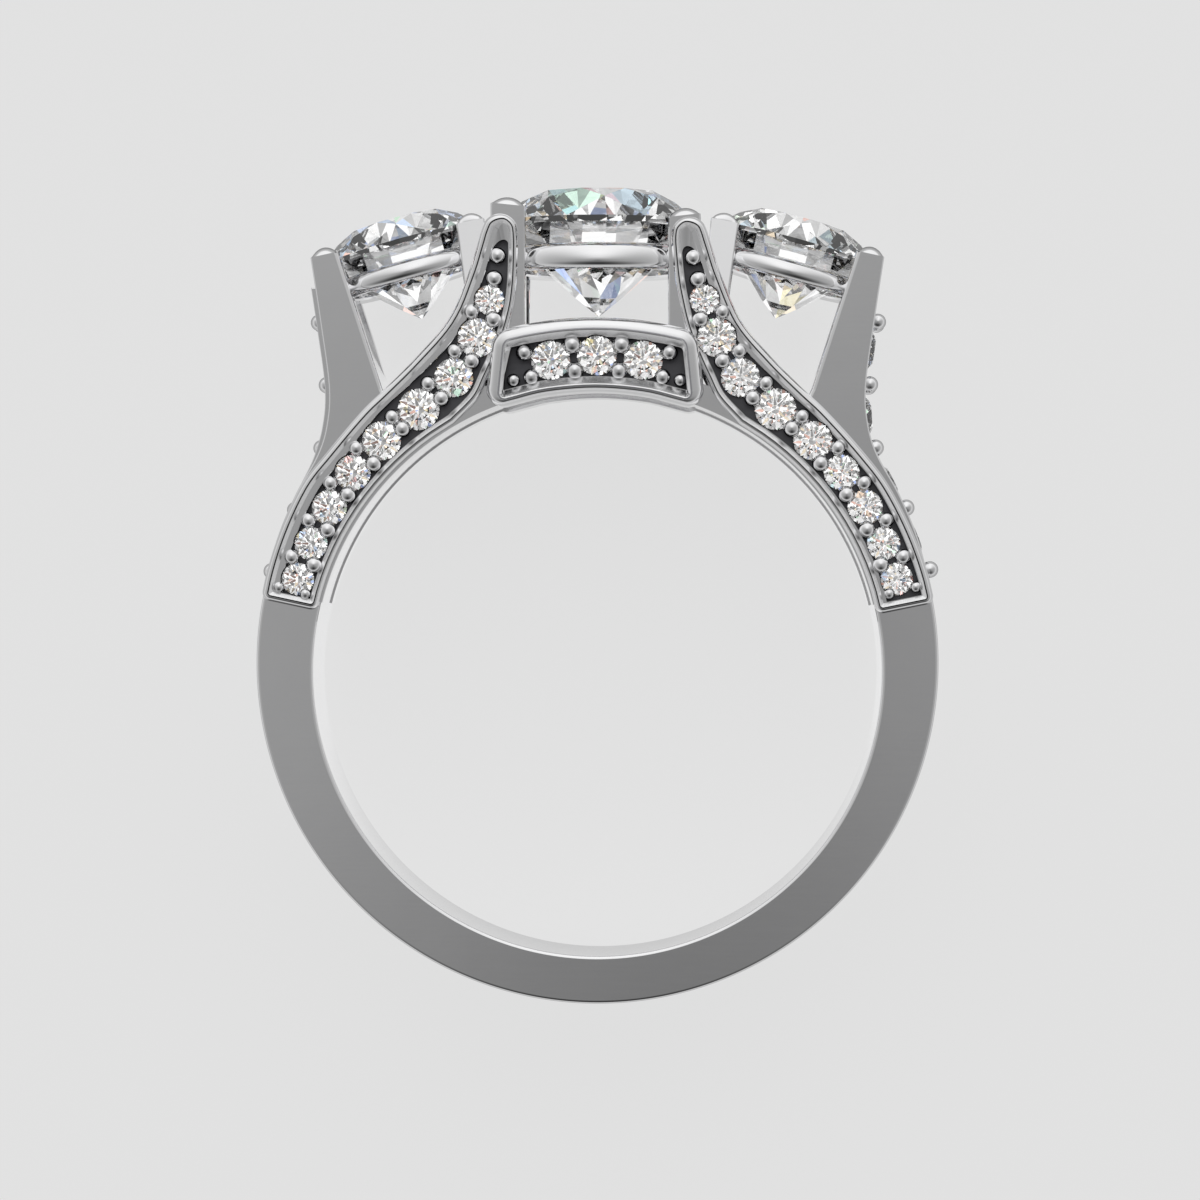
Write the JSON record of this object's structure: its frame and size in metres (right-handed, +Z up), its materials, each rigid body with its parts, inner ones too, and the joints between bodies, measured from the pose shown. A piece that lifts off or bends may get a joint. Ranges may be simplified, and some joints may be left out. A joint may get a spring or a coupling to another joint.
{
  "type": "three-stone engagement ring",
  "caption": "White-metal engagement ring with a raised centre stone, two leaning side stones and small stones set along its panels, bridge and shoulders.",
  "frame": {"origin": "centre of the finger hole, on its axis and at half the width of the band", "axes": "+Z along the finger axis, +Y toward the stones, +X to the right seen from +Z. The ring lies on its side, so +Z is up."},
  "size_m": [0.0206, 0.0244, 0.0062],
  "materials": {
    "white_metal": "polished white metal",
    "cut_stone": "clear, brilliant cut",
    "small_stone": "clear, brilliant cut"
  },
  "bodies": {
    "root": {"mounting": "white_metal", "centre_stone": "cut_stone", "left_stone": "cut_stone", "right_stone": "cut_stone", "front_left_pave": "small_stone", "front_right_pave": "small_stone", "back_left_pave": "small_stone", "back_right_pave": "small_stone", "front_bridge_pave": "small_stone", "back_bridge_pave": "small_stone", "left_edge_pave": "small_stone", "right_edge_pave": "small_stone"}
  },
  "joints": []
}
